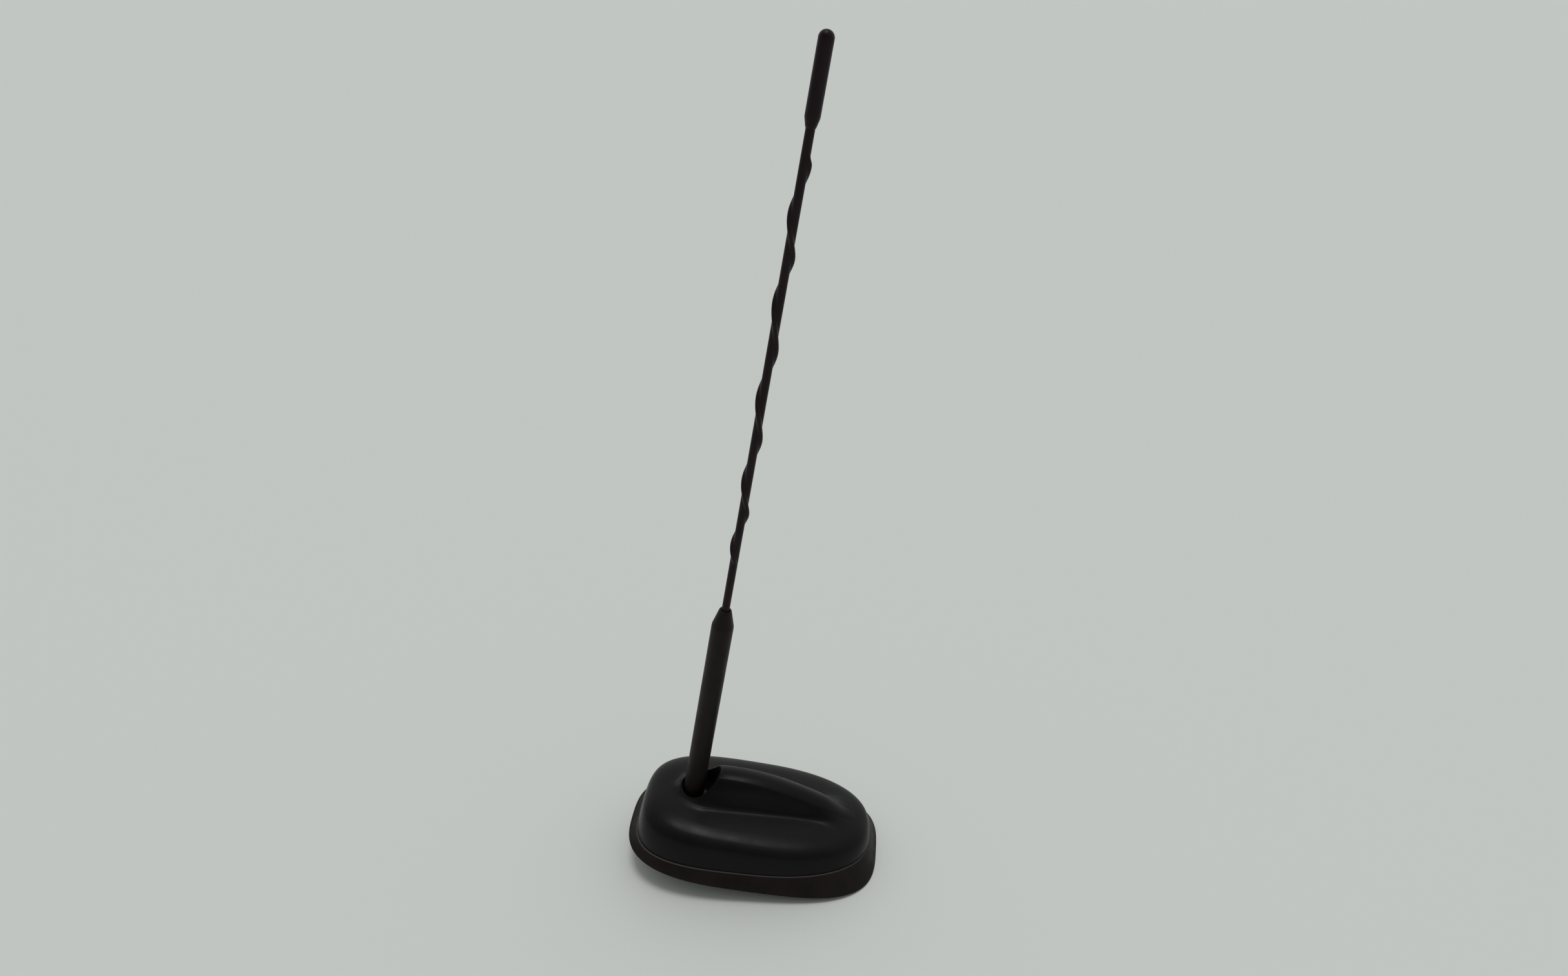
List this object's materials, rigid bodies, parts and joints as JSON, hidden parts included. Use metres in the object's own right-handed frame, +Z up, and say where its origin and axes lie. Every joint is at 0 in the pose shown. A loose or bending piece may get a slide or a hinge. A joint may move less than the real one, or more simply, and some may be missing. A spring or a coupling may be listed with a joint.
{
  "type": "omnidirectional antenna",
  "caption": "Vehicle roof antenna: a rubber-skirted oval base with a ridge, and a raked black whip with a spiral rib that screws into a deep socket.",
  "frame": {"origin": "on the roof bolt hole's axis, in the plane of the gasket's foot, which is the roof surface", "axes": "+X towards the tail of the base, +Y across it, +Z up away from the roof"},
  "size_m": [0.1418, 0.0858, 0.4459],
  "materials": {
    "cover_plastic": "satin moulded black",
    "gasket_rubber": "matt",
    "die_cast": "bead blasted die cast",
    "collar_plastic": "moulded",
    "seal_rubber": "matt",
    "zinc_steel": "zinc plated",
    "socket_brass": "turned",
    "white_insulator": "plain",
    "pin_brass": "plated",
    "board": "solder mask",
    "tin_steel": "tinned",
    "coil_wire": "enamelled copper",
    "capacitor_can": "satin",
    "chip_plastic": "moulded",
    "resistor": "fired",
    "screw_steel": "zinc plated",
    "grey_insulator": "plain",
    "clip_bronze": "stamped",
    "stud_brass": "turned",
    "fibreglass": "drawn rod",
    "whip_skin": "satin extruded",
    "grip_rubber": "satin moulded",
    "cap_plastic": "satin moulded"
  },
  "bodies": {
    "base": {"base_cover": "cover_plastic", "base_gasket": "gasket_rubber", "base_plate": "die_cast", "roof_boss": "die_cast", "coax_collar": "collar_plastic", "boss_seal": "seal_rubber", "roof_bolt_insert": "zinc_steel", "coax_socket_shell": "socket_brass", "coax_socket_insulator": "white_insulator", "coax_centre_pin": "pin_brass", "amplifier_board": "board", "shield_can": "tin_steel", "board_coils": "coil_wire", "board_capacitors": "capacitor_can", "board_chips": "chip_plastic", "board_resistors": "resistor", "board_screws": "zinc_steel", "cover_screws": "screw_steel", "mast_socket_insert": "socket_brass", "socket_insulator": "grey_insulator", "contact_clip": "clip_bronze"},
    "seal": {"mast_seal_ring": "seal_rubber"},
    "mast": {"mast_stud": "stud_brass", "mast_core": "fibreglass", "mast_winding": "coil_wire", "mast_jacket": "whip_skin", "mast_grip": "grip_rubber", "mast_tip_cap": "cap_plastic"}
  },
  "joints": [
    {"name": "mast_lift", "type": "slide", "parent": "base", "child": "seal", "axis": [0.0745, 0, 0.9972], "range_m": [0, 0.008]},
    {"name": "mast_unscrew", "type": "hinge", "parent": "seal", "child": "mast", "pos_m": [-0.0144, 0, 0], "axis": [0.0745, 0, 0.9972], "range_deg": [0, 3600.5]}
  ],
  "couplings": [
    {"joint": "mast_unscrew", "follows": "mast_lift", "rad_per_m": 7854}
  ]
}
